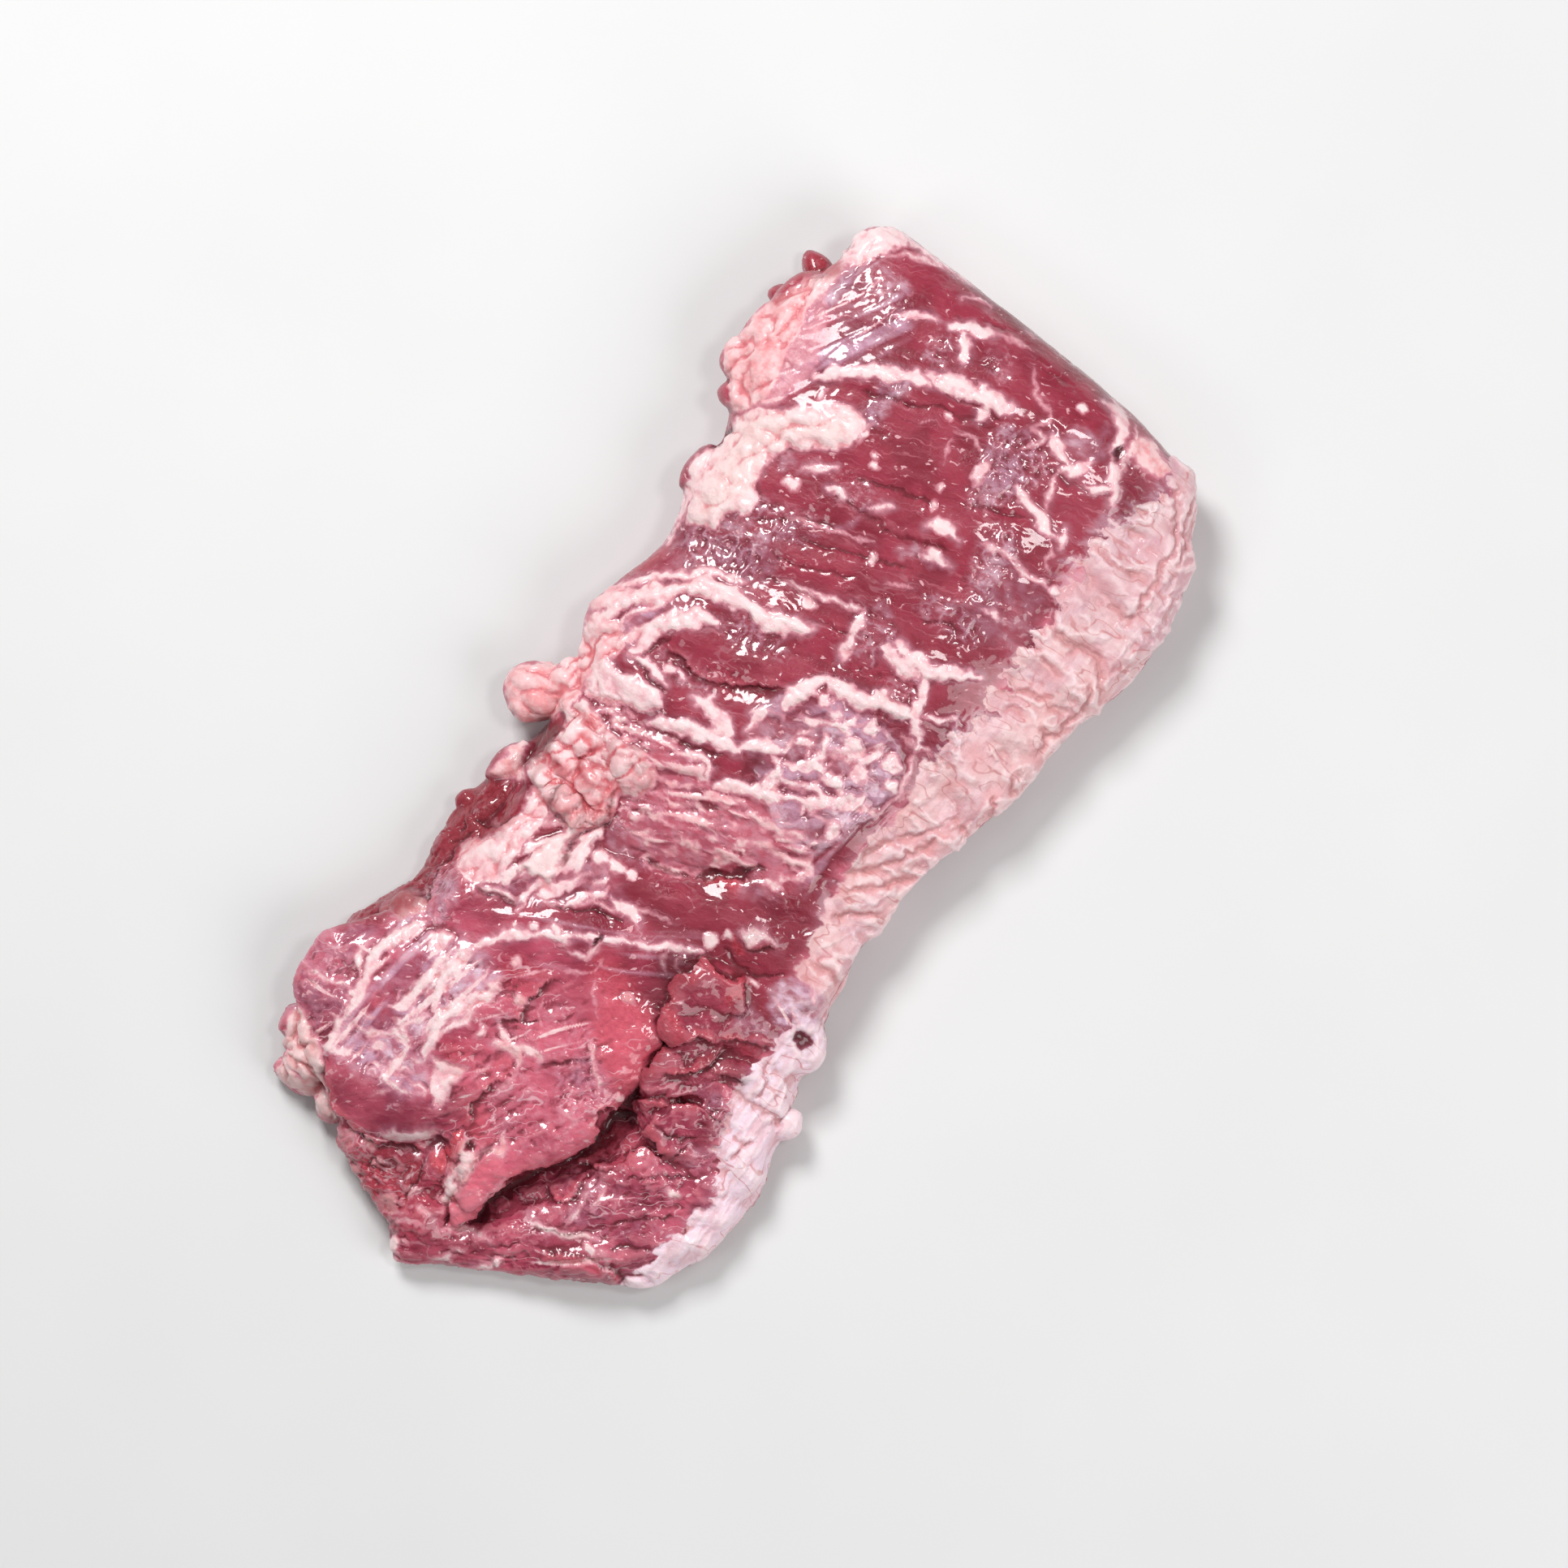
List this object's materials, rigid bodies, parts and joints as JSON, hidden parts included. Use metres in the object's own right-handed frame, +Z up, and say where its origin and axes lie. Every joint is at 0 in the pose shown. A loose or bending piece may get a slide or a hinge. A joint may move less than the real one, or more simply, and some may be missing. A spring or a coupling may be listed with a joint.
{
  "type": "raw inside skirt steak",
  "caption": "Long flat raw beef steak folded once across its length, with a closed rounded fold, open layered edges, torn flaps, fat lumps and a pale membrane edge.",
  "frame": {"origin": "centre of the outline's bounding box, on the flat face the steak rests on", "axes": "+X across the steak towards its pale membrane edge, +Y along the steak towards its closed fold, +Z up, towards the face that shows in the picture"},
  "size_m": [0.1634, 0.3516, 0.0412],
  "materials": {
    "raw_meat": "moist raw muscle under thin silverskin, with seams and patches of pink-white fat"
  },
  "bodies": {
    "root": {"skirt_steak": "raw_meat"}
  },
  "joints": []
}
